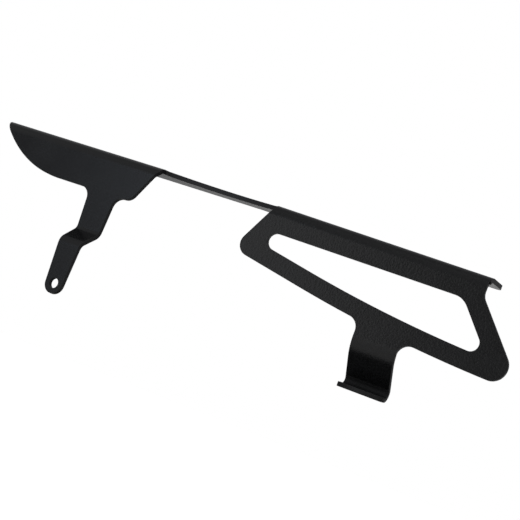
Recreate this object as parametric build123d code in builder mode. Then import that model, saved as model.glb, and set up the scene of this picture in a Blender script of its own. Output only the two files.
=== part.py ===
# Motorcycle chain guard: one sheet, cut flat and folded along its top edge, with a joggled bolt arm
# under the front fin and a hooked tab under the rear plate.
# Millimetres. X runs to the rear of the motorcycle, Y inboard, Z up.
# The origin is the centre of the bolt hole, on the face that seats on the swingarm.
import os
from math import asin, cos, degrees, radians, sin, sqrt, tan

from build123d import *

# Sheet and folds
sheet = 3.1             # sheet with its coat
bend_in = 5.0           # inside radius of the press bends
flange = 33.6           # width of the top flange, from the outer face of the fold
flange_corner = 6.0     # rounded far corners of the flange
dogleg = 9.0            # degrees between the front and the rear fold lines, seen from above
slot_deg = 62.0         # lean of both edges of the relief slot
top = 98.9              # height of the flange over the bolt hole
corner = 8.0            # usual corner and fillet radius

# Bolt arm
bolt_d = 7.2            # clearance for an M6 bolt
foot_r = 7.35           # round end of the arm
joggle = 14.3           # step from the fin out to the bolt face
joggle_deg = 53.0       # slope of the step
joggle_z = 41.7         # upper corner of the step over the bolt hole
arm_front = 12.8        # arm edges where the arm leaves the fin, from the bolt
arm_rear = 10.5

# Front fin
fin_depth = 28.75
fin_tail = 12.4         # lower corner of the fin behind the arm
root_share = 0.97       # part of that tail which its two fillets take up
nose_r = 82.4           # sweep of the fin's nose, up to the top of the fold
nose_x = 43.95          # rear end of that sweep, in front of the bolt

# Rear plate, measured along its own fold from the knee
knee_x = 106.15         # knee of the two fold lines, from the bolt
plate_start = 25.4      # front edge of the plate under the flange
plate_end = 178.9       # rear end of the flange
plate_depth = 62.05     # lowest point of the lower sweep
belly_r = 1000.0        # lower sweep
belly_x = 239.5         # lowest point of that sweep
belly_start = 60.9      # the lower edge is straight in front of this
tail_drop = 13.2        # where the tail starts to flare back
tail_set = 0.8          # the plate stops this far inside the end of the flange
tail_deg = 48.3         # slope of the flared tail
tail_corner = 10.0
rim = 12.0              # border left around the window
brow = 18.0             # border over the window
window_r = 5.5
window_tail_r = 14.0

# Hooked tab
tab_x = 123.1           # middle of the tab
tab_width = 30.6
tab_drop = 61.9         # where the tab starts to roll inboard
tab_roll_r = 23.0
tab_roll_deg = 37.5
tab_straight = 16.2
hook_in = 2.5           # inside radius of the hook
hook_deg = 124.0
lip = 7.8

# Relief that opens the fold between the fin and the plate
relief_x = 92.85        # deepest point, from the bolt
relief_depth = 18.1     # from the outer face of the fin
relief_r = 206.0
relief_front_r = 3.5
relief_rear_r = 10.0

# Derived sizes
bend_out = bend_in + sheet
fin_y = joggle - sheet
nose_rise = sqrt(nose_r**2 - (nose_r - fin_depth) ** 2)
fin_front = nose_x + nose_rise
fin_z = top - fin_depth
lean = 1 / tan(radians(slot_deg))
fin_corner_x = arm_rear + fin_tail
fin_slot_x = fin_corner_x + (fin_depth - sheet) * lean
root_r = root_share * fin_tail / (1 + tan(radians(90 - slot_deg)))
half_step = tan(radians(joggle_deg / 2))
fin_drop = top - bend_out - joggle_z - bend_in * half_step
step_len = joggle / sin(radians(joggle_deg)) - (bend_in + bend_out) * half_step
overlap = flange / 2    # how far each fold runs past the knee before the relief is cut
reach = 2 * flange      # half depth of the cutting outlines
near = sheet / 30       # how close a corner lies to the line it is picked from

# Front section: flange, fin, joggle and foot in one fold
with BuildPart() as front:
    with BuildSketch(Plane.YZ.offset(-fin_front)):
        with BuildLine():
            deck = Line((fin_y + flange, top), (fin_y + bend_out, top))
            fold = JernArc(deck @ 1, deck % 1, bend_out, 90)
            fin = Line(fold @ 1, (fold @ 1) + (fold % 1) * fin_drop)
            step_out = JernArc(fin @ 1, fin % 1, bend_in, -joggle_deg)
            step = Line(step_out @ 1, (step_out @ 1) + (step_out % 1) * step_len)
            step_down = JernArc(step @ 1, step % 1, bend_out, joggle_deg)
            Line(step_down @ 1, (-sheet, -2 * foot_r))
            offset(amount=sheet, side=Side.LEFT)
        make_face()
    extrude(amount=fin_front + knee_x + overlap)

    with BuildSketch(Plane.XZ) as fin_outline:
        with BuildLine():
            nose = JernArc((-nose_x, fin_z), (-1, 0), nose_r, -degrees(asin(nose_rise / nose_r)))
            Polyline(
                nose @ 1,
                (knee_x + overlap, top),
                (knee_x + overlap, top - sheet),
                (fin_slot_x, top - sheet),
                (fin_corner_x, fin_z),
                nose @ 0,
            )
        make_face()
        with BuildSketch(mode=Mode.PRIVATE) as arm:
            with BuildLine():
                Line((-arm_front, fin_z), (arm_rear, fin_z))
                CenterArc((0, 0), foot_r, 0, 360)
            make_hull()
        add(arm.sketch)
        lower = fin_outline.vertices().filter_by_position(Axis.Y, fin_z - near, fin_z + near)
        fillet(lower.filter_by_position(Axis.X, -arm_front - near, fin_corner_x + near), root_r)
    extrude(amount=reach, both=True, mode=Mode.INTERSECT)

    with BuildSketch(Plane.XZ):
        Circle(bolt_d / 2)
    extrude(amount=reach, both=True, mode=Mode.SUBTRACT)
    with BuildSketch(Plane.XY.offset(top)):
        with Locations((-fin_front, fin_y + bend_out)):
            Rectangle(nose_rise, flange - bend_out, align=Align.MIN)
    extrude(amount=-sheet)
    fillet(front.edges().filter_by(Axis.Z).group_by(Axis.X)[0].sort_by(Axis.Y)[-1], flange_corner)

# Rear plate outline: the tail line and the lower sweep, and the same pair one border further in
tail_c = cos(radians(tail_deg))
tail_s = sin(radians(tail_deg))
belly_z = top - plate_depth + belly_r
sweep = asin((belly_x - belly_start) / belly_r)


def tail_point(along, inset):
    """Point on the tail line, moved into the plate by the inset."""
    return (
        plate_end - tail_set + along * tail_c - inset * tail_s,
        top - tail_drop - along * tail_s - inset * tail_c,
    )


def tail_meets_belly(inset):
    """Point where the tail line meets the lower sweep, both moved in by the inset."""
    x0, z0 = tail_point(0, inset)
    b = (x0 - belly_x) * tail_c - (z0 - belly_z) * tail_s
    q = (x0 - belly_x) ** 2 + (z0 - belly_z) ** 2 - (belly_r - inset) ** 2
    return tail_point(sqrt(b * b - q) - b, inset)


def belly_front(inset):
    """Front end of the lower sweep, moved in by the inset."""
    return belly_x - (belly_r - inset) * sin(sweep), belly_z - (belly_r - inset) * cos(sweep)


def slot_point(z, inset):
    """Point at height z on the plate's front edge, moved in by the inset."""
    return plate_start - (top - sheet - z) * lean + inset / sin(radians(slot_deg)), z


def slot_meets_belly(inset):
    """Point where the front edge meets the straight lower edge, both moved in by the inset."""
    x0, z0 = belly_front(inset)
    x1 = slot_point(z0, inset)[0]
    return slot_point(z0 + (x0 - x1) / (lean + 1 / tan(sweep)), inset)


# Rear section, square to its own fold: flange, plate, rolled tab and hook in one fold
with BuildPart() as rear:
    with BuildSketch(Plane.YZ.offset(-overlap)):
        with BuildLine():
            deck = Line((flange, top), (bend_out, top))
            fold = JernArc(deck @ 1, deck % 1, bend_out, 90)
            plate = Line(fold @ 1, (0, top - tab_drop))
            roll = JernArc(plate @ 1, plate % 1, tab_roll_r, tab_roll_deg)
            tab = Line(roll @ 1, (roll @ 1) + (roll % 1) * tab_straight)
            hook = JernArc(tab @ 1, tab % 1, hook_in, -hook_deg)
            Line(hook @ 1, (hook @ 1) + (hook % 1) * lip)
            offset(amount=sheet, side=Side.LEFT)
        make_face()
    extrude(amount=plate_end + 2 * overlap + flange)

    with BuildSketch(Plane.XZ) as plate_outline:
        with BuildLine():
            RadiusArc(tail_meets_belly(0), belly_front(0), belly_r)
            Polyline(
                belly_front(0),
                slot_meets_belly(0),
                slot_point(top - sheet, 0),
                (-overlap, top - sheet),
                (-overlap, top),
                (plate_end, top),
                (plate_end, top - sheet),
                (plate_end - tail_set, top - sheet),
                tail_point(0, 0),
                tail_meets_belly(0),
            )
        make_face()
        with Locations((tab_x, top - plate_depth)):
            Rectangle(tab_width, 2 * plate_depth)
        tab_roots = plate_outline.vertices().filter_by_position(Axis.Y, top - plate_depth, top)
        fillet(tab_roots.filter_by_position(Axis.X, tab_x - tab_width, tab_x + tab_width), corner)
        fillet(plate_outline.vertices().sort_by_distance(slot_meets_belly(0))[0], corner)
        fillet(plate_outline.vertices().sort_by_distance(tail_point(0, 0))[0], corner)
        fillet(plate_outline.vertices().sort_by_distance(tail_meets_belly(0))[0], tail_corner)
    extrude(amount=reach, both=True, mode=Mode.INTERSECT)

    window_z = top - brow
    window_tail = tail_point((top - tail_drop - rim * tail_c - window_z) / tail_s, rim)
    with BuildSketch(Plane.XZ) as window:
        with BuildLine():
            RadiusArc(tail_meets_belly(rim), belly_front(rim), belly_r - rim)
            Polyline(
                belly_front(rim),
                slot_meets_belly(rim),
                slot_point(window_z, rim),
                window_tail,
                tail_meets_belly(rim),
            )
        make_face()
        fillet(window.vertices().sort_by_distance(window_tail)[0], window_tail_r)
        offset(amount=-window_r)
        offset(amount=window_r)
    extrude(amount=reach, both=True, mode=Mode.SUBTRACT)
    flange_end = rear.edges().filter_by(Axis.Z).filter_by_position(Axis.Y, flange - near, flange + near)
    fillet(flange_end.sort_by(Axis.X)[-1], flange_corner)

# The two sections meet at the knee, and the relief opens the fold between them
rear_at = Location((knee_x, fin_y, 0), (0, 0, dogleg))
with BuildPart() as chain_guard:
    add(front.part)
    with Locations(rear_at):
        add(rear.part)
    with BuildSketch(Plane.XY.offset(top - sheet)) as relief:
        with BuildLine():
            Polyline(
                (fin_slot_x, fin_y - sheet),
                (fin_slot_x, fin_y + flange),
                (rear_at * Pos(plate_start, flange)).position,
                (rear_at * Pos(plate_start, -flange)).position,
                (fin_slot_x, fin_y - sheet),
            )
        make_face()
        with Locations((relief_x, fin_y + relief_depth - relief_r)):
            Circle(relief_r, mode=Mode.INTERSECT)
        fillet(relief.vertices().sort_by(Axis.Y)[-2:].sort_by(Axis.X)[0], relief_front_r)
        fillet(relief.vertices().sort_by(Axis.X)[-2:].sort_by(Axis.Y)[-1], relief_rear_r)
    extrude(amount=2 * sheet, mode=Mode.SUBTRACT)

chain_guard.part.label = "chain_guard"
os.makedirs("parts", exist_ok=True)
export_step(chain_guard.part, "parts/chain_guard.step")
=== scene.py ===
# %% [markdown]
# A motorcycle chain guard, cut flat and folded
#
# The object is one sheet of metal. A maker cuts a flat blank, drills the bolt hole, opens a long
# window, folds everything along its top edge, sets a step into the bolt arm, rolls the tab under the
# rear plate into a hook, and has the whole thing powder coated in satin black. This lesson goes the
# same way: the blank first, then the folds, then the coat, and last the studio.
#
# The CAD frame already holds the sheet with its true sizes. Loading it first gives the sheet that the
# finished piece is measured against.

import bpy
import numpy as np
from mathutils import Matrix, Vector
from mathutils.bvhtree import BVHTree
from mathutils.geometry import delaunay_2d_cdt


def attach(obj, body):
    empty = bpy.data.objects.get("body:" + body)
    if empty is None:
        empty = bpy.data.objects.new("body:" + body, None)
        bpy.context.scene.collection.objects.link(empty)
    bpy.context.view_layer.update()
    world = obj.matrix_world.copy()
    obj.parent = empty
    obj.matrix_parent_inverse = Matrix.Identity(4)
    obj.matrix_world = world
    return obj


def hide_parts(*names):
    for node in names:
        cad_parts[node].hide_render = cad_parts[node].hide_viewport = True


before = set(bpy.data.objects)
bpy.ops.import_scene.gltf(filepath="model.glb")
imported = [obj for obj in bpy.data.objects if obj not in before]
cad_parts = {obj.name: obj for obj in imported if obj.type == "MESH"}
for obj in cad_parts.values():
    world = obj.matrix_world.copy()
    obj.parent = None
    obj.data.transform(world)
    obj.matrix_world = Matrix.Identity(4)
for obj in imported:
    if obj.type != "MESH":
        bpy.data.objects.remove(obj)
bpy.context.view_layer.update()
MM = 0.001

# %% [markdown]
# The folds, seen from the end
#
# Looked at from its end, a folded sheet is a line of straight runs and round bends. It could be bent
# with a Simple Deform modifier, one bend at a time, but those drift out of size. Here the line is
# worked out exactly: every run starts where the one before it ended, and a bend turns the heading at
# a steady rate. The line follows the outer face, and the inner face lies one sheet further in.
#
# There are two such lines, because the guard has a dog-leg: the front fold carries the fin, the
# stepped arm and the foot, and the rear fold carries the plate, the rolled tab and its hook.

# %% Sizes of the sheet and its folds, in millimetres
SHEET = 3.1
BEND_IN = 5.0
BEND_OUT = BEND_IN + SHEET
FLANGE = 33.6
TOP = 98.9
JOGGLE, JOGGLE_DEG, JOGGLE_Z = 14.3, 53.0, 41.7
TAB_DROP, TAB_ROLL_R, TAB_ROLL_DEG, TAB_STRAIGHT = 61.9, 23.0, 37.5, 16.2
HOOK_IN, HOOK_DEG, LIP = 2.5, 124.0, 7.8
FOOT_R = 7.35
FIN_Y = JOGGLE - SHEET
print("sheet", SHEET, "mm thick, press bends with a radius of", BEND_OUT, "mm on the outer face")

# %% The two fold lines
def fold_line(y, runs):
    """Table of a fold line: where each run starts, its heading there and its curvature.

    The line starts at the far edge of the flange, at height TOP, and heads outward. Its first run ends
    at y, and there the distance s is 0. A run is (length, 0, 0) for a straight, or (0, degrees, radius)
    for a bend.
    """
    length, turn, radius = np.array(runs, float).T
    turn = np.radians(turn)
    curve = np.divide(np.sign(turn), radius, out=np.zeros_like(turn), where=radius > 0)
    length = length + np.abs(turn) * radius
    s = np.concatenate([[0], np.cumsum(length)[:-1]]) - length[0]
    heading = np.pi + np.concatenate([[0], np.cumsum(turn)[:-1]])
    half = curve * length / 2
    chord = (length * np.sinc(half / np.pi))[:, None]
    steps = chord * np.column_stack([np.cos(heading + half), np.sin(heading + half)])
    points = np.array([y + length[0], TOP]) + np.vstack([[0, 0], np.cumsum(steps, 0)[:-1]])
    return {"s": s, "heading": heading, "curve": curve, "start": points, "end": s[-1] + length[-1]}


def along_fold(line, s):
    """Point and inward normal of a fold line at the distances s.

    A bend of curvature k swept over a length d ends on a chord of d * sin(k d / 2) / (k d / 2), turned
    by half the bend. A straight is the same with k = 0.
    """
    i = np.clip(np.searchsorted(line["s"], s, side="right") - 1, 0, None)
    d = s - line["s"][i]
    half = line["curve"][i] * d / 2
    way = line["heading"][i] + half
    chord = (d * np.sinc(half / np.pi))[:, None]
    point = line["start"][i] + chord * np.column_stack([np.cos(way), np.sin(way)])
    return point, np.column_stack([-np.sin(way + half), np.cos(way + half)])


half_step = np.tan(np.radians(JOGGLE_DEG / 2))
fin_drop = TOP - BEND_OUT - JOGGLE_Z - BEND_IN * half_step
step_length = JOGGLE / np.sin(np.radians(JOGGLE_DEG)) - (BEND_IN + BEND_OUT) * half_step
flange_run = (FLANGE - BEND_OUT, 0, 0)
front_fold = fold_line(FIN_Y + BEND_OUT, [
    flange_run,
    (0, 90, BEND_OUT),
    (fin_drop, 0, 0),
    (0, -JOGGLE_DEG, BEND_IN),
    (step_length, 0, 0),
    (0, JOGGLE_DEG, BEND_OUT),
    (JOGGLE_Z + FOOT_R, 0, 0),
])
rear_fold = fold_line(BEND_OUT, [
    flange_run,
    (0, 90, BEND_OUT),
    (TAB_DROP - BEND_OUT, 0, 0),
    (0, TAB_ROLL_DEG, TAB_ROLL_R),
    (TAB_STRAIGHT, 0, 0),
    (0, -HOOK_DEG, HOOK_IN),
    (LIP, 0, 0),
])
print("front fold runs start at", np.round(front_fold["s"], 2))
print("rear fold runs start at", np.round(rear_fold["s"], 2), "and end at", round(rear_fold["end"], 2))

# %% Distance along a fold line for a height
FOLD_SAMPLES = 40001


def at_height(line, z):
    """Distance s along a fold line at which its outer face has the height z, on the way down.

    The fall from TOP is worked out at many places along the line, and s is read off between them.
    """
    s = np.linspace(0, line["end"], FOLD_SAMPLES)
    fall = np.maximum.accumulate(TOP - along_fold(line, s)[0][:, 1])
    return np.interp(TOP - z, fall, s)


print("the bolt hole is", round(at_height(front_fold, 0.0), 2), "mm along the front fold")

# %% [markdown]
# The front outline
#
# Seen from the side, the fin is a blade with a swept nose, and the arm hangs under it as the hull of
# a straight line and the round foot. Each inside corner has a fillet, as a laser-cut part has. The
# outline is a chain of straight lines and arcs, and each fillet's centre is solved from the two lines
# that it touches.

# %% Nose, arm, foot and fin tail
ARM_FRONT, ARM_REAR = 12.8, 10.5
FIN_DEPTH, FIN_TAIL, ROOT_SHARE = 28.75, 12.4, 0.97
NOSE_R, NOSE_X = 82.4, 43.95
SLOT = np.radians(62.0)
LEAN = 1 / np.tan(SLOT)
ARC_STEP, ARC_LEAST = 0.8, 8


def arc(centre, radius, start, end):
    """Points on a circle from one angle to another, in degrees.

    They lie about ARC_STEP apart, in at least ARC_LEAST steps.
    """
    count = max(int(abs(np.radians(end - start)) * radius / ARC_STEP), ARC_LEAST) + 1
    a = np.radians(np.linspace(start, end, count))
    return np.asarray(centre) + radius * np.column_stack([np.cos(a), np.sin(a)])


def degrees_of(vector):
    """Angle of a flat vector, in degrees."""
    return np.degrees(np.arctan2(vector[1], vector[0]))


fin_z = TOP - FIN_DEPTH
nose_rise = np.sqrt(NOSE_R**2 - (NOSE_R - FIN_DEPTH) ** 2)
fin_front = NOSE_X + nose_rise
fin_corner_x = ARM_REAR + FIN_TAIL
fin_slot_x = fin_corner_x + (FIN_DEPTH - SHEET) * LEAN
root_r = ROOT_SHARE * FIN_TAIL / (1 + LEAN)


def arm_side(x, side):
    """Outward unit normal of an arm edge: the line from (x, fin_z) that just touches the foot.

    The side is 1 for the front edge and -1 for the rear one.
    """
    a = np.arctan2(fin_z, x) + side * np.arccos(FOOT_R / np.hypot(x, fin_z))
    return np.array([np.cos(a), np.sin(a)])


front_side = arm_side(-ARM_FRONT, 1)
rear_side = arm_side(ARM_REAR, -1)
root_z = fin_z - root_r
front_root = np.array([(FOOT_R + root_r - front_side[1] * root_z) / front_side[0], root_z])
rear_root = np.array([(FOOT_R + root_r - rear_side[1] * root_z) / rear_side[0], root_z])
tail_centre = np.array([fin_corner_x - root_r * (1 - np.cos(SLOT)) / np.sin(SLOT), fin_z + root_r])
nose_sweep = np.degrees(np.arcsin(nose_rise / NOSE_R))

front_outline = np.vstack([
    arc((-NOSE_X, fin_z + NOSE_R), NOSE_R, 270 - nose_sweep, 270),
    arc(front_root, root_r, 90, degrees_of(front_side) + 180 - 360 * (front_side[1] > 0)),
    arc((0, 0), FOOT_R, degrees_of(front_side) % 360, degrees_of(rear_side) + 360),
    arc(rear_root, root_r, degrees_of(rear_side) + 180, 90),
    arc(tail_centre, root_r, -90, np.degrees(SLOT) - 90),
    [(fin_slot_x, TOP - SHEET)],
])
print("front outline:", len(front_outline), "points, root fillets", round(root_r, 2), "mm")

# %% [markdown]
# The rear outline and its window
#
# The rear plate is square to its own fold. Its lower edge starts straight and runs into a long sweep
# of one metre radius, its tail flares back, and the tab hangs from the sweep. The window keeps the same
# border from these edges, so the window is drawn with the same formulas, each moved in by the border.

# %% Edges of the plate, each as a function of how far it is moved in
PLATE_START, PLATE_END, PLATE_DEPTH = 25.4, 178.9, 62.05
BELLY_R, BELLY_X, BELLY_START = 1000.0, 239.5, 60.9
TAIL_DROP, TAIL_SET, TAIL_DEG = 13.2, 0.8, 48.3
TAB_X, TAB_WIDTH = 123.1, 30.6
CORNER = 8.0
tail_c, tail_s = np.cos(np.radians(TAIL_DEG)), np.sin(np.radians(TAIL_DEG))
sweep = np.arcsin((BELLY_X - BELLY_START) / BELLY_R)
sweep_deg = 270 - np.degrees(sweep)
belly = np.array([BELLY_X, TOP - PLATE_DEPTH + BELLY_R])


def tail_point(run, inset):
    """Point on the tail line after a run down it, moved into the plate by the inset."""
    start = np.array([PLATE_END - TAIL_SET, TOP - TAIL_DROP])
    return start + run * np.array([tail_c, -tail_s]) - inset * np.array([tail_s, tail_c])


def tail_meets_belly(inset):
    """Where the tail line crosses the lower sweep, both moved in.

    A line and a circle, solved for the run down the line.
    """
    to_start = tail_point(0, inset) - belly
    b = to_start @ np.array([tail_c, -tail_s])
    return tail_point(np.sqrt(b * b - to_start @ to_start + (BELLY_R - inset) ** 2) - b, inset)


def belly_front(inset):
    """Front end of the lower sweep, moved in."""
    return belly - (BELLY_R - inset) * np.array([np.sin(sweep), np.cos(sweep)])


def slot_meets_belly(inset):
    """Where the leaning front edge crosses the straight lower edge, both moved in."""
    x0, z0 = belly_front(inset)
    x1 = PLATE_START - (TOP - SHEET - z0) * LEAN + inset / np.sin(SLOT)
    rise = (x0 - x1) / (LEAN + 1 / np.tan(sweep))
    return np.array([x1 + rise * LEAN, z0 + rise])


def tab_root(side):
    """Centre of the fillet between the lower sweep and a side of the tab, and its bearing.

    The fillet touches the side, and its centre lies one CORNER outside the sweep. The bearing is counted
    from the middle of the sweep, in degrees.
    """
    x = TAB_X + side * (TAB_WIDTH / 2 + CORNER)
    centre = np.array([x, belly[1] - np.sqrt((BELLY_R + CORNER) ** 2 - (x - BELLY_X) ** 2)])
    return centre, degrees_of(centre - belly) % 360


print("the sweep meets the straight lower edge at", np.round(belly_front(0), 1))

# %% Plate, tab roots and tail
TAIL_CORNER = 10.0
plate_toe = slot_meets_belly(CORNER)
tail_end = tail_meets_belly(TAIL_CORNER)
tail_end_deg = degrees_of(tail_end - belly) % 360
tail_neck = tail_point(CORNER * (1 - tail_s) / tail_c, -CORNER)
left_root, left_deg = tab_root(-1)
right_root, right_deg = tab_root(1)
plate_to_tab = np.vstack([
    [(PLATE_START, TOP - SHEET)],
    arc(plate_toe, CORNER, 90 + np.degrees(SLOT), sweep_deg),
    arc(belly, BELLY_R, sweep_deg, left_deg),
    arc(left_root, CORNER, left_deg - 180, 0),
])
tab_to_tail = np.vstack([
    arc(right_root, CORNER, 180, right_deg - 180),
    arc(belly, BELLY_R, right_deg, tail_end_deg),
    arc(tail_end, TAIL_CORNER, tail_end_deg, 450 - TAIL_DEG),
    arc(tail_neck, CORNER, 270 - TAIL_DEG, 180),
    [(PLATE_END - TAIL_SET, TOP - SHEET)],
])
print("plate outline:", len(plate_to_tab), "points up to the tab and", len(tab_to_tail), "after it")

# %% Window
RIM, BROW, WINDOW_R, WINDOW_TAIL_R = 12.0, 18.0, 5.5, 14.0
window_z = TOP - BROW
nose_line = belly_front(RIM + WINDOW_R)
window_nose_z = window_z - WINDOW_R
window_nose_x = nose_line[0] - (window_nose_z - nose_line[1]) / np.tan(sweep)
window_nose = np.array([window_nose_x, window_nose_z])
window_toe = tail_meets_belly(RIM + WINDOW_R)
inner_tail = tail_point(0, RIM + WINDOW_TAIL_R)
window_heel = tail_point((inner_tail[1] - window_z + WINDOW_TAIL_R) / tail_s, RIM + WINDOW_TAIL_R)
window_toe_deg = degrees_of(window_toe - belly) % 360
window_outline = np.vstack([
    arc(window_nose, WINDOW_R, 90, sweep_deg),
    arc(belly, BELLY_R - RIM, sweep_deg, window_toe_deg),
    arc(window_toe, WINDOW_R, window_toe_deg, 450 - TAIL_DEG),
    arc(window_heel, WINDOW_TAIL_R, 90 - TAIL_DEG, 90),
])
print("window:", len(window_outline), "points")

# %% [markdown]
# The flat blank
#
# The two outlines are laid out flat. The flange stays where it is, and each point below the fold moves
# out by its distance along the fold line, square to the fold it belongs to. The front fold and the rear
# fold meet at the knee with a small angle between them, so the laid-out fin and plate spread apart and
# never overlap, just as on the real blank. Between them lies the relief: a cut into the flange that
# leaves only a strip of it.

# %% Laying out points on the blank
KNEE_X = 106.15
DOGLEG = 9.0
ROW_TURN = np.radians(4.5)
NEAR_END = 1e-6
dogleg = np.radians(DOGLEG)
rear_axes = np.array([[np.cos(dogleg), np.sin(dogleg)], [-np.sin(dogleg), np.cos(dogleg)]])
knee = np.array([KNEE_X, FIN_Y])


def front_blank(x, s):
    """Blank points of the front section: x along the fold, s out across it."""
    return np.column_stack([x, FIN_Y + BEND_OUT - np.asarray(s)])


def rear_blank(x, s):
    """Blank points of the rear section: the same, turned by the dog-leg about the knee."""
    return knee + np.column_stack([x, BEND_OUT - np.asarray(s)]) @ rear_axes


def bend_rows(line, first=0, last=None):
    """Distances s of the rows that cut the bends of a fold line, from first to last, into small turns.

    Each turn is about ROW_TURN.
    """
    edges = np.append(line["s"], line["end"])
    spans = [(a, b, k) for a, b, k in zip(edges[:-1], edges[1:], line["curve"]) if k][first:last]
    counts = [int(round(abs(k) * (b - a) / ROW_TURN)) + 1 for a, b, k in spans]
    return np.concatenate([np.linspace(a, b, n) for (a, b, _), n in zip(spans, counts)])


def with_rows(outline, heights):
    """The outline with a point added wherever a straight step of it crosses one of the heights.

    The share t of a step at which it reaches a height is (height - start) / rise, and a crossing counts
    where t lies between 0 and 1, but not within NEAR_END of them.
    """
    p, step = outline[:-1], np.diff(outline, axis=0)
    t = (heights - p[:, 1:]) / np.where(step[:, 1:] == 0, np.inf, step[:, 1:])
    i, j = np.nonzero((t > NEAR_END) & (t < 1 - NEAR_END))
    added = p[i] + t[i, j][:, None] * step[i]
    order = np.argsort(np.concatenate([np.arange(len(outline)), i + t[i, j]]), kind="stable")
    return np.vstack([outline, added])[order]


def lay_out(outline, line, place):
    """An outline seen from the side, laid out on the blank along its fold line."""
    heights = along_fold(line, bend_rows(line))[0][:, 1]
    rows = with_rows(outline, heights)
    return place(rows[:, 0], at_height(line, rows[:, 1]))


print("knee at", knee, "mm,", len(bend_rows(front_fold)) + len(bend_rows(rear_fold)), "rows in the bends")

# %% Relief between the two folds, in the plane of the flange
RELIEF_X, RELIEF_DEPTH, RELIEF_R = 92.85, 18.1, 206.0
RELIEF_FRONT_R, RELIEF_REAR_R = 3.5, 10.0
relief = np.array([RELIEF_X, FIN_Y + RELIEF_DEPTH - RELIEF_R])
front_x = fin_slot_x + RELIEF_FRONT_R
reach = np.sqrt((RELIEF_R - RELIEF_FRONT_R) ** 2 - (front_x - relief[0]) ** 2)
relief_front = np.array([front_x, relief[1] + reach])
rear_x = PLATE_START - RELIEF_REAR_R
relief_x, relief_y = rear_axes @ (relief - knee)
reach = np.sqrt((RELIEF_R - RELIEF_REAR_R) ** 2 - (rear_x - relief_x) ** 2)
relief_rear = knee + np.array([rear_x, relief_y + reach]) @ rear_axes
relief_outline = np.vstack([
    arc(relief_front, RELIEF_FRONT_R, 180, degrees_of(relief_front - relief)),
    arc(relief, RELIEF_R, degrees_of(relief_front - relief), degrees_of(relief_rear - relief)),
    arc(relief_rear, RELIEF_REAR_R, degrees_of(relief_rear - relief), DOGLEG),
])
print("relief:", len(relief_outline), "points")

# %% The whole edge of the blank
FLANGE_CORNER = 6.0
BOLT_D = 7.2
left_x, right_x = TAB_X - TAB_WIDTH / 2, TAB_X + TAB_WIDTH / 2
end_s = rear_fold["end"]
step_s = at_height(rear_fold, np.array([TOP - SHEET]))[0]
far_rear = knee + arc((PLATE_END - FLANGE_CORNER, FLANGE - FLANGE_CORNER), FLANGE_CORNER, 0, 90) @ rear_axes
far_knee = knee + np.array([-FLANGE * np.tan(dogleg / 2), FLANGE])
far_front = arc((-fin_front + FLANGE_CORNER, FIN_Y + FLANGE - FLANGE_CORNER), FLANGE_CORNER, 90, 180)
guard_edge = np.vstack([
    lay_out(front_outline, front_fold, front_blank),
    relief_outline,
    lay_out(plate_to_tab, rear_fold, rear_blank),
    rear_blank([left_x, right_x], [end_s, end_s]),
    lay_out(tab_to_tail, rear_fold, rear_blank),
    rear_blank([PLATE_END], [step_s]),
    far_rear,
    [far_knee],
    far_front,
])
window_edge = lay_out(window_outline, rear_fold, rear_blank)
bolt_edge = lay_out(arc((0, 0), BOLT_D / 2, 0, 360)[:-1], front_fold, front_blank)
print("blank:", len(guard_edge), "edge points,", np.round(np.ptp(guard_edge, axis=0), 1), "mm over all")

# %% [markdown]
# Cutting the blank into triangles
#
# A flat area with curved edges and two holes could be filled with an n-gon, but a bend needs rows of
# points across it or it would fold as a crease. A constrained Delaunay triangulation takes both: the
# edges of the blank and a row every few degrees of each bend. It fills the holes as well, so triangles
# whose middle lies outside the edge, or in a hole, are dropped by counting how many edges a ray crosses.

# %% Rows across the bends
ROW_STEP = 6.0
PAST_EDGE = 1.0
ARM_REACH = 25.0


def row_lines(place, x0, x1, rows):
    """Points and links of straight rows from x0 to x1, one for each distance in rows."""
    count = int((x1 - x0) / ROW_STEP) + 2
    x, s = np.meshgrid(np.linspace(x0, x1, count), rows)
    ids = np.arange(x.size).reshape(x.shape)
    links = np.stack([ids[:, :-1], ids[:, 1:]], -1).reshape(-1, 2)
    return place(x.ravel(), s.ravel()), links


def ring(points):
    """A closed edge: its points, and links from each to the next."""
    ids = np.arange(len(points))
    return points, np.column_stack([ids, np.roll(ids, -1)])


rings = [ring(guard_edge), ring(window_edge), ring(bolt_edge)]
rows = [
    row_lines(front_blank, -fin_front - PAST_EDGE, fin_slot_x + PAST_EDGE, bend_rows(front_fold, 0, 1)),
    row_lines(front_blank, -ARM_REACH, ARM_REACH, bend_rows(front_fold, 1)),
    row_lines(rear_blank, PLATE_START - PAST_EDGE, PLATE_END + PAST_EDGE, bend_rows(rear_fold, 0, 1)),
    row_lines(rear_blank, left_x - PAST_EDGE, right_x + PAST_EDGE, bend_rows(rear_fold, 1)),
]
print("rows across the bends:", sum(len(p) for p, _ in rows), "points")

# %% Triangles inside the edge
MERGE = 0.005
CONVEX_HULL = 0
pieces = rings + rows
starts = np.cumsum([0] + [len(p) for p, _ in pieces])
drawn = np.vstack([p for p, _ in pieces])
links = np.vstack([l + n for (_, l), n in zip(pieces, starts)])
filled, _, hull_tris, *_ = delaunay_2d_cdt(drawn.tolist(), links.tolist(), [], CONVEX_HULL, MERGE)
blank, tris = np.array(filled), np.array(hull_tris)


def inside(points, edges):
    """Whether each point lies inside: a ray to the right of it crosses the edges an odd number of times."""
    a = np.vstack([p for p, _ in edges])
    b = np.vstack([np.roll(p, -1, axis=0) for p, _ in edges])
    px, py = points[:, :1], points[:, 1:]
    spans = (a[:, 1] > py) != (b[:, 1] > py)
    rise = np.where(a[:, 1] == b[:, 1], 1, b[:, 1] - a[:, 1])
    return (spans & (px < a[:, 0] + (py - a[:, 1]) * (b[:, 0] - a[:, 0]) / rise)).sum(1) % 2 == 1


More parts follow.
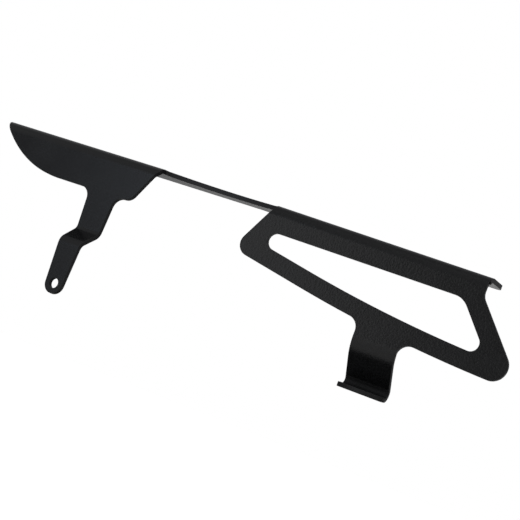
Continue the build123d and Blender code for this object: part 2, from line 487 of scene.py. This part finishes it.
tris = tris[inside(blank[tris].mean(1), rings)]
used, tris = np.unique(tris, return_inverse=True)
blank, tris = blank[used], tris.reshape(-1, 3)
print("blank:", len(blank), "points,", len(tris), "triangles")

# %% [markdown]
# Folding it, and rounding the cut edge
#
# Folding is one formula for every point: the distance across the fold picks a place on the fold line,
# and the depth in the sheet moves it along the normal there. The same formula with the full depth gives
# the inner face. A Solidify and a Bevel modifier could add the wall and round it, but a coated edge is
# a profile carried along a path: in from the face by a quarter circle, straight through the sheet, and
# out again. The exact normals come with it, so flat faces shade flat right up to the round.

# %% Fold formula
def fold(points, depth):
    """Blank points at a depth in the sheet, folded, with the outward normal of the outer face.

    Ahead of the relief's deepest point the front fold line is followed along X, and behind it the rear
    one along the direction of the dog-leg.
    """
    along, normal = along_fold(front_fold, FIN_Y + BEND_OUT - points[:, 1])
    front = np.column_stack([points[:, 0], along + normal * depth[:, None]])
    front_normal = np.column_stack([np.zeros(len(points)), -normal])
    local = (points - knee) @ rear_axes.T
    along, normal = along_fold(rear_fold, BEND_OUT - local[:, 1])
    side = along + normal * depth[:, None]
    rear = np.column_stack([np.column_stack([local[:, 0], side[:, 0]]) @ rear_axes + knee, side[:, 1]])
    zero = np.zeros(len(points))
    rear_normal = np.column_stack([np.column_stack([zero, -normal[:, 0]]) @ rear_axes, -normal[:, 1]])
    ahead = (points[:, 0] < RELIEF_X)[:, None]
    return np.where(ahead, front, rear), np.where(ahead, front_normal, rear_normal)


lip_end = fold(rear_blank([TAB_X], [end_s]), np.zeros(1))[0][0]
print("folded, the middle of the lip ends at", np.round(lip_end, 1), "mm")

# %% Edge of the cut blank, and the way in from it
EDGE_R = 0.2
sides = tris[:, [0, 1, 1, 2, 2, 0]].reshape(-1, 2)
_, which, times = np.unique(np.sort(sides, 1), axis=0, return_inverse=True, return_counts=True)
rim_links = sides[times[which.ravel()] == 1]
rim = rim_links[:, 0]
place_in_rim = np.full(len(blank), -1)
place_in_rim[rim] = np.arange(len(rim))
after = place_in_rim[rim_links[:, 1]]
before = np.empty_like(after)
before[after] = np.arange(len(rim))
edge = blank[rim]


def left_of(step):
    """Unit vectors a quarter turn to the left of flat steps."""
    return np.column_stack([-step[:, 1], step[:, 0]]) / np.linalg.norm(step, axis=1)[:, None]


from_left, to_left = left_of(edge - edge[before]), left_of(edge[after] - edge)
inward = (from_left + to_left) / (1 + (from_left * to_left).sum(1))[:, None]
print("cut edge:", len(rim), "points, rounded by", EDGE_R, "mm")

# %% Faces, rounded wall and normals
EDGE_STEPS = 3
blank[rim] += EDGE_R * inward
count = len(blank)
outer, outward = fold(blank, np.zeros(count))
inner, _ = fold(blank, np.full(count, SHEET))
outer_edge, edge_normal = fold(edge, np.zeros(len(rim)))
aside = outer_edge - outer[rim]
aside /= np.linalg.norm(aside, axis=1)[:, None]
quarter = np.radians(np.linspace(0, 90, EDGE_STEPS + 1))
turned = np.concatenate([quarter, np.pi - quarter[::-1]])
sunk = EDGE_R * (1 - np.abs(np.cos(turned)))
depth = np.concatenate([sunk[:EDGE_STEPS + 1], SHEET - sunk[EDGE_STEPS + 1:]])
walls, wall_normals = [], []
for angle, d in zip(turned[1:-1], depth[1:-1]):
    walls.append(fold(edge + EDGE_R * (1 - np.sin(angle)) * inward, np.full(len(rim), d))[0])
    wall_normals.append(np.cos(angle) * edge_normal + np.sin(angle) * aside)
points = np.vstack([outer, inner] + walls)
normals = np.vstack([outward, -outward] + wall_normals)
between = [2 * count + k * len(rim) + np.arange(len(rim)) for k in range(len(walls))]
layers = [rim] + between + [rim + count]
strips = [np.column_stack([a, b, b[after], a[after]]) for a, b in zip(layers[:-1], layers[1:])]
wall_faces = np.vstack(strips)
print("cut edge:", len(strips), "strips of faces through the sheet at depths", np.round(depth, 2))

# %% The piece itself
mesh = bpy.data.meshes.new("folded_guard")
inner_tris = tris[:, ::-1] + count
mesh.from_pydata((points * MM).tolist(), [], tris.tolist() + inner_tris.tolist() + wall_faces.tolist())
mesh.shade_smooth()
mesh.normals_split_custom_set_from_vertices(normals.tolist())
cut_edge = mesh.attributes.new("cut_edge", "FLOAT", "POINT")
cut_edge.data.foreach_set("value", np.repeat([0.0, 1.0], [2 * count, len(points) - 2 * count]))
guard = bpy.data.objects.new("folded_guard", mesh)
bpy.context.scene.collection.objects.link(guard)
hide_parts("chain_guard")
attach(guard, "root")
print("guard:", len(points), "points,", len(mesh.polygons), "faces")

# %% Gap to the CAD sheet, measured at every few points
GAP_EVERY = 7
cad_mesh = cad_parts["chain_guard"].data
cad_tree = BVHTree.FromPolygons([v.co for v in cad_mesh.vertices], [p.vertices for p in cad_mesh.polygons])
gaps = np.array([cad_tree.find_nearest(p)[3] for p in (points[::GAP_EVERY] * MM).tolist()]) / MM
print("gap to the CAD sheet, mm: mean", round(gaps.mean(), 3), "largest", round(gaps.max(), 3))

# %% [markdown]
# The powder coat
#
# Powder coat is sprayed on dry and melted, so it flows over the edges and sets with a fine, slightly
# grainy skin: satin black, never a mirror. A single dark colour looks like a hole in the picture. What
# tells the eye that it is a coat is a grain finer than a millimetre, slow and faint changes of gloss over
# a few centimetres, and a mottle of about a millimetre that breaks up the light. The photograph shows
# the mottle on the rear plate and hardly any of it on the fin, so it fades in along X. Charged powder
# hardly gets into a tight inside corner, so inside the hook the coat is thin and dull. The cut edge keeps
# the fine lines of the cutting under its coat, so it is duller as well, by an attribute of the mesh.
#
# An image of a coat could be laid on, but it would need unwrapping and would repeat. Noise on Object
# coordinates has its real size everywhere, and the same few noises drive the colour, the roughness and
# the bump.

# %% Satin black coat
COAT_SPECULAR = 0.2
coat = bpy.data.materials.new("satin_black_powder_coat")
coat.use_nodes = True
nodes, wires = coat.node_tree.nodes, coat.node_tree.links
skin = nodes["Principled BSDF"]
skin.inputs["Specular IOR Level"].default_value = COAT_SPECULAR
where = nodes.new("ShaderNodeTexCoord").outputs["Object"]
print("coat:", coat.name, "with a specular level of", COAT_SPECULAR)

# %% Dull coat inside the hook
HOOK_RUN = 5  # the hook's bend is the sixth run of the rear fold
DULL, DULL_TO, DULL_ENDS = 0.45, 1.05 * HOOK_IN * MM, 1.4 * HOOK_IN * MM


def ramp(value, start, end, low, high):
    """A value that goes from low to high while another one goes from start to end.

    With t as the share of the way from start to end, it is eased in and out by 3 t t - 2 t t t.
    """
    node = nodes.new("ShaderNodeMapRange")
    node.interpolation_type = "SMOOTHSTEP"
    node.inputs["From Min"].default_value = start
    node.inputs["From Max"].default_value = end
    node.inputs["To Min"].default_value = low
    node.inputs["To Max"].default_value = high
    wires.new(value, node.inputs["Value"])
    return node.outputs["Result"]


def distance_from(point, direction):
    """Distance from a line: the length of the cross product of its direction and the way from its point."""
    value = where
    for kind, vector in (("SUBTRACT", point), ("CROSS_PRODUCT", direction), ("LENGTH", None)):
        node = nodes.new("ShaderNodeVectorMath")
        node.operation = kind
        wires.new(value, node.inputs[0])
        if vector is not None:
            node.inputs[1].default_value = vector
        value = node.outputs["Value" if vector is None else "Vector"]
    return value


hook_start, hook_normal = along_fold(rear_fold, rear_fold["s"][HOOK_RUN:HOOK_RUN + 1])
hook_y, hook_z = hook_start[0] - HOOK_IN * hook_normal[0]
hook_at = np.append(knee + np.array([0, hook_y]) @ rear_axes, hook_z) * MM
dull = ramp(distance_from(hook_at, np.append(rear_axes[0], 0)), DULL_TO, DULL_ENDS, DULL, 0.0)
print("the axis of the hook passes through", np.round(hook_at / MM, 1), "mm")

# %% Rougher coat on the cut edge
CUT_DULL = 0.2


def combine(kind, a, b):
    """Two values joined by a sum, by a product, or as the larger of the two."""
    node = nodes.new("ShaderNodeMath")
    node.operation = kind
    wires.new(a, node.inputs[0])
    wires.new(b, node.inputs[1])
    return node.outputs[0]


at_cut = nodes.new("ShaderNodeAttribute")
at_cut.attribute_name = "cut_edge"
dull = combine("ADD", dull, ramp(at_cut.outputs["Fac"], 0.0, 1.0, 0.0, CUT_DULL))
print("roughness added inside the hook:", DULL, "and on the cut edge:", CUT_DULL)

# %% Grain, flow and mottle
GRAINS, FLOWS, MOTTLES = 1500, 45, 780
MOTTLE_STARTS, MOTTLE_FULL, MOTTLE_ON_FIN = 0.05, 0.14, 0.12
MOTTLE_TONE = (-0.5, 0.5)
NOISE_LOW, NOISE_HIGH = 0.3, 0.7


def noise(scale, detail, rough):
    """Noise with about that many grains to the metre, in the node tree at hand."""
    node = nodes.new("ShaderNodeTexNoise")
    node.inputs["Scale"].default_value = scale
    node.inputs["Detail"].default_value = detail
    node.inputs["Roughness"].default_value = rough
    wires.new(where, node.inputs["Vector"])
    return node.outputs["Fac"]


def spread(value, low, high):
    """Noise stretched from its middle range to the values from low to high."""
    node = nodes.new("ShaderNodeMapRange")
    node.inputs["From Min"].default_value = NOISE_LOW
    node.inputs["From Max"].default_value = NOISE_HIGH
    node.inputs["To Min"].default_value = low
    node.inputs["To Max"].default_value = high
    wires.new(value, node.inputs["Value"])
    return node.outputs["Result"]


def axis(value, name):
    """One axis of a position or direction."""
    node = nodes.new("ShaderNodeSeparateXYZ")
    wires.new(value, node.inputs[0])
    return node.outputs[name]


grain = noise(GRAINS, detail=3, rough=0.6)
flow = noise(FLOWS, detail=2, rough=0.5)
coarse = ramp(axis(where, "X"), MOTTLE_STARTS, MOTTLE_FULL, MOTTLE_ON_FIN, 1.0)
mottle = combine("MULTIPLY", spread(noise(MOTTLES, detail=2, rough=0.5), *MOTTLE_TONE), coarse)
print("grains, flows and mottles to the metre:", GRAINS, FLOWS, MOTTLES)

# %% Colour, gloss and bump from the three noises
BLACK_DEEP, BLACK_PALE = (0.002, 0.002, 0.0022, 1), (0.0075, 0.0076, 0.008, 1)
GRAIN_TONE, FLOW_TONE = (0.2, 0.6), (0.0, 0.2)
GRAIN_ROUGH, FLOW_ROUGH = (0.20, 0.28), (-0.02, 0.02)
GRAIN_HEIGHT = (0.0, 0.05)
MOTTLE_HEIGHT = 0.000045
tone = nodes.new("ShaderNodeValToRGB")
tone.color_ramp.elements[0].color = BLACK_DEEP
tone.color_ramp.elements[1].color = BLACK_PALE
shade = combine("ADD", spread(grain, *GRAIN_TONE), spread(flow, *FLOW_TONE))
wires.new(combine("ADD", shade, mottle), tone.inputs["Fac"])
wires.new(tone.outputs["Color"], skin.inputs["Base Color"])
satin = combine("ADD", spread(grain, *GRAIN_ROUGH), spread(flow, *FLOW_ROUGH))
wires.new(combine("ADD", satin, dull), skin.inputs["Roughness"])
bump = nodes.new("ShaderNodeBump")
bump.inputs["Strength"].default_value = 1.0
bump.inputs["Distance"].default_value = MOTTLE_HEIGHT
wires.new(combine("ADD", mottle, spread(grain, *GRAIN_HEIGHT)), bump.inputs["Height"])
wires.new(bump.outputs["Normal"], skin.inputs["Normal"])
mesh.materials.append(coat)
print("coat:", len(nodes), "nodes, a mottle", round(MOTTLE_HEIGHT / MM, 3), "mm high")

# %% [markdown]
# The studio
#
# The photograph is a product shot on white. On a black coat nearly all the light that reaches the lens
# is a reflection, so what counts is what stands around the guard. A photographer would move softboxes
# and dark cards about until each face has something to mirror, and the same is done here: two softboxes
# in front for the fin and the plate, one at the right for the cut edges, and one above, which casts the
# shadow on the floor.
#
# The floor is pale paper, a quarter of a metre under the bolt. The upper half of the tab mirrors it in
# front of the guard, and the underside of the flange and the cut edges at the right mirror it far behind,
# so there the paper glows for reflections only, a painted reflection, and elsewhere a reflection sees it
# painted dark grey, a painted shade. The camera sees it white through Light Path's Is Camera Ray, a
# little less white near the guard, where the shadow falls. That adds no light to the guard.

# %% Floor
FLOOR_Z, FLOOR_HALF, FLOOR_CUTS = -0.25, 12.0, 41
u, v = np.meshgrid(*[np.linspace(-FLOOR_HALF, FLOOR_HALF, FLOOR_CUTS)] * 2)
floor_points = np.column_stack([u.ravel(), v.ravel(), np.full(u.size, FLOOR_Z)])
ids = np.arange(u.size).reshape(u.shape)
floor_faces = np.stack([ids[:-1, :-1], ids[:-1, 1:], ids[1:, 1:], ids[1:, :-1]], -1).reshape(-1, 4)
floor_mesh = bpy.data.meshes.new("floor")
floor_mesh.from_pydata(floor_points.tolist(), [], floor_faces.tolist())
floor = bpy.data.objects.new("floor", floor_mesh)
bpy.context.scene.collection.objects.link(floor)
print("floor:", len(floor_mesh.polygons), "faces at", FLOOR_Z, "m")

# %% Paper
# Painted shade: a reflection sees the paper this dark grey instead of its own colour.
GLOSS_PAINTED_SHADE = (0.1, 0.1, 0.1, 1)
FIBRE_DARK, FIBRE_PALE = (0.60, 0.60, 0.60, 1), (0.64, 0.64, 0.64, 1)
FIBRES = 90
PAPER_ROUGH, PAPER_SPECULAR = 0.9, 0.1
paper = bpy.data.materials.new("white_paper")
paper.use_nodes = True
nodes, wires = paper.node_tree.nodes, paper.node_tree.links
sheet_of_paper = nodes["Principled BSDF"]
sheet_of_paper.inputs["Roughness"].default_value = PAPER_ROUGH
sheet_of_paper.inputs["Specular IOR Level"].default_value = PAPER_SPECULAR
where = nodes.new("ShaderNodeTexCoord").outputs["Object"]
fibres = nodes.new("ShaderNodeValToRGB")
fibres.color_ramp.elements[0].color = FIBRE_DARK
fibres.color_ramp.elements[1].color = FIBRE_PALE
wires.new(noise(FIBRES, detail=4, rough=0.6), fibres.inputs["Fac"])
# A glossy ray sees the paper painted dark, a painted shade; every other ray sees its own colour.
rays = nodes.new("ShaderNodeLightPath")
painted_shade_mix = nodes.new("ShaderNodeMix")
painted_shade_mix.data_type = "RGBA"
painted_shade_mix.inputs["B"].default_value = GLOSS_PAINTED_SHADE
wires.new(rays.outputs["Is Glossy Ray"], painted_shade_mix.inputs["Factor"])
wires.new(fibres.outputs["Color"], painted_shade_mix.inputs["A"])
wires.new(painted_shade_mix.outputs["Result"], sheet_of_paper.inputs["Base Color"])
print("paper:", paper.name, "with", FIBRES, "fibres to the metre")

# %% Where the paper is white, and where it glows for reflections only, a painted reflection
# Painted reflection: the paper glows for glossy rays only, this bright in front of the guard and far behind
# it.
PAINTED_GLOW_FRONT, PAINTED_GLOW_BEHIND = 1.05, 0.78
WHITE_NEAR, WHITE_FAR = 0.5, 1.0
NEAR_ENDS, FAR_STARTS = 0.4, 1.3
FRONT_ENDS, FRONT_GONE = -0.30, -0.22
BEHIND_STARTS, BEHIND_FULL = 0.3, 0.8
LEFT_STARTS, LEFT_FULL = -1.7, -0.9
RIGHT_STARTS, RIGHT_FULL, RIGHT_SHARE = -0.3, 0.3, 0.6
sheet_of_paper.inputs["Emission Color"].default_value = (1, 1, 1, 1)
away = nodes.new("ShaderNodeVectorMath")
away.operation = "LENGTH"
wires.new(where, away.inputs[0])
white = ramp(away.outputs["Value"], NEAR_ENDS, FAR_STARTS, WHITE_NEAR, WHITE_FAR)
white = combine("MULTIPLY", rays.outputs["Is Camera Ray"], white)
in_front = ramp(axis(where, "Y"), FRONT_ENDS, FRONT_GONE, PAINTED_GLOW_FRONT, 0.0)
behind = ramp(axis(where, "Y"), BEHIND_STARTS, BEHIND_FULL, 0.0, PAINTED_GLOW_BEHIND)
left_share = ramp(axis(where, "X"), LEFT_STARTS, LEFT_FULL, 0.0, 1.0)
right_share = ramp(axis(where, "X"), RIGHT_STARTS, RIGHT_FULL, 1.0, RIGHT_SHARE)
behind = combine("MULTIPLY", combine("MULTIPLY", behind, left_share), right_share)
# Painted reflection: the glow in front and behind, seen by glossy rays only.
painted_reflection = combine("MULTIPLY", rays.outputs["Is Glossy Ray"], combine("ADD", in_front, behind))
wires.new(combine("MAXIMUM", white, painted_reflection), sheet_of_paper.inputs["Emission Strength"])
paper.cycles.emission_sampling = "NONE"
floor_mesh.materials.append(paper)
print("paper:", len(nodes), "nodes, white", WHITE_NEAR, "under the guard and", WHITE_FAR, "further out")

# %% [markdown]
# The room and its lights
#
# The backdrop is the world itself. The camera sees it white, with a strength of 1, and so does a ray
# that comes through glass. A reflection sees a grey room: lighter overhead, which the top of the fold
# mirrors, and darker behind the guard, more so at the right, but never below the fill. Walls could be
# built as planes, but a few ramps on the direction do the same and have no seams. All other rays get
# the fill, which is even and low.
#
# A softbox is an area lamp. It is placed by what the guard sees of it, a bearing and the angles of its
# lower and upper edge, because these are what a reflection shows.

# %% Backdrop
ROOM_FRONT, ROOM_UP = 0.4, 0.72
ROOM_BACK_LEFT, ROOM_BACK_RIGHT = 0.35, 0.1
ROOM_FILL = 0.3
ROOM_TINT, PLAIN_WHITE = (0.97, 0.98, 1.0, 1), (1, 1, 1, 1)
BACK_STARTS, BACK_FULL = -0.5, 0.0
WALL_LEFT_ENDS, WALL_RIGHT_STARTS = -0.35, 0.1
OVERHEAD_STARTS, OVERHEAD_FULL = 0.15, 0.5
world = bpy.data.worlds.new("white_backdrop")
bpy.context.scene.world = world
world.use_nodes = True
nodes, wires = world.node_tree.nodes, world.node_tree.links
sky = nodes["Background"]
rays = nodes.new("ShaderNodeLightPath")
facing = nodes.new("ShaderNodeTexCoord").outputs["Generated"]
turned_back = ramp(axis(facing, "Y"), BACK_STARTS, BACK_FULL, 0.0, 1.0)
back_wall = ramp(axis(facing, "X"), WALL_LEFT_ENDS, WALL_RIGHT_STARTS, ROOM_BACK_LEFT, ROOM_BACK_RIGHT)
overhead = ramp(axis(facing, "Z"), OVERHEAD_STARTS, OVERHEAD_FULL, ROOM_FRONT, ROOM_UP)
room = nodes.new("ShaderNodeMix")
wires.new(turned_back, room.inputs["Factor"])
wires.new(overhead, room.inputs["A"])
wires.new(back_wall, room.inputs["B"])
gloss = combine("MULTIPLY", rays.outputs["Is Glossy Ray"], room.outputs["Result"])
seen = combine("MAXIMUM", rays.outputs["Is Camera Ray"], gloss)
seen = combine("MAXIMUM", rays.outputs["Is Transmission Ray"], seen)
level = nodes.new("ShaderNodeMath")
level.operation = "MAXIMUM"
level.inputs[1].default_value = ROOM_FILL
wires.new(seen, level.inputs[0])
wires.new(level.outputs[0], sky.inputs["Strength"])
tint = nodes.new("ShaderNodeMix")
tint.data_type = "RGBA"
tint.inputs["A"].default_value = ROOM_TINT
tint.inputs["B"].default_value = PLAIN_WHITE
wires.new(rays.outputs["Is Camera Ray"], tint.inputs["Factor"])
wires.new(tint.outputs["Result"], sky.inputs["Color"])
world.cycles.sampling_method = "NONE"
print("world: 1 for the camera,", ROOM_FILL, "to", ROOM_UP, "in reflections,", ROOM_FILL, "for other rays")

# %% Softboxes
MIDDLE = np.array([0.12, 0.02, 0.05])
LIGHT_AWAY = 3.0
WHITE, COOL = (1, 1, 1), (0.76, 0.85, 1.0)


def softbox(name, bearing, low, high, half_width, radiance, colour):
    """A soft panel that the guard sees at a bearing, from a low to a high angle, with that brightness.

    The bearing is counted from straight ahead to the right, in degrees. The panel faces the guard, its
    sides reach the angles given, and its power is its brightness times pi times its area.
    """
    a, e, half = np.radians([bearing, (low + high) / 2, (high - low) / 2])
    offset = LIGHT_AWAY * np.array([np.sin(a) * np.cos(e), -np.cos(a) * np.cos(e), np.sin(e)])
    lamp = bpy.data.lights.new(name, "AREA")
    lamp.shape = "RECTANGLE"
    lamp.size = 2 * LIGHT_AWAY * np.tan(np.radians(half_width))
    lamp.size_y = 2 * LIGHT_AWAY * np.tan(half)
    lamp.energy = radiance * np.pi * lamp.size * lamp.size_y
    lamp.color = colour
    holder = bpy.data.objects.new(name, lamp)
    holder.location = (MIDDLE + offset).tolist()
    holder.rotation_euler = Vector((-offset).tolist()).to_track_quat("-Z", "Y").to_euler()
    holder.visible_camera = False
    bpy.context.scene.collection.objects.link(holder)
    return holder


# Each has its bearing, lower and upper edge and half width in degrees, its brightness and its colour
panels = [
    softbox("left_softbox", -31, 1, 28, 7, 2.6, COOL),
    softbox("front_softbox", -17, -6, 18, 7, 1.5, WHITE),
    softbox("right_softbox", 75, 10, 50, 18, 1.2, WHITE),
    softbox("top_softbox", 60, 62, 82, 10, 10.0, WHITE),
]
print("softboxes, watts:", {panel.name: round(panel.data.energy, 1) for panel in panels})

# %% [markdown]
# The camera
#
# The lens and the place of the camera were solved from the outline in the photograph: a long lens about
# 1.2 metres away, a little lower than the guard, tilted about its own axis. The tilt is why the guard
# runs down to the right in the picture although it is level in its own frame.

# %% Camera
AZIMUTH, ELEVATION, ROLL = np.radians([32.76, -4.40, 21.35])
CAMERA_AT = (0.76465, -0.9618, -0.02865)
LENS_MM, SENSOR_MM = 124.96, 36
CLIP_NEAR, CLIP_FAR = 0.05, 60
flat = np.cos(ELEVATION)
back = np.array([np.sin(AZIMUTH) * flat, -np.cos(AZIMUTH) * flat, np.sin(ELEVATION)])
right = np.array([np.cos(AZIMUTH), np.sin(AZIMUTH), 0])
up = np.cross(back, right)
right, up = np.cos(ROLL) * right + np.sin(ROLL) * up, np.cos(ROLL) * up - np.sin(ROLL) * right
lens = bpy.data.cameras.new("camera")
lens.sensor_width = SENSOR_MM
lens.lens = LENS_MM
lens.clip_start, lens.clip_end = CLIP_NEAR, CLIP_FAR
camera = bpy.data.objects.new("camera", lens)
turned_to = Matrix(np.column_stack([right, up, back]).tolist())
camera.matrix_world = Matrix.Translation(CAMERA_AT) @ turned_to.to_4x4()
bpy.context.scene.collection.objects.link(camera)
bpy.context.scene.camera = camera
bpy.context.scene.view_settings.view_transform = "Standard"
print("camera at", CAMERA_AT, "m, lens", LENS_MM, "mm")
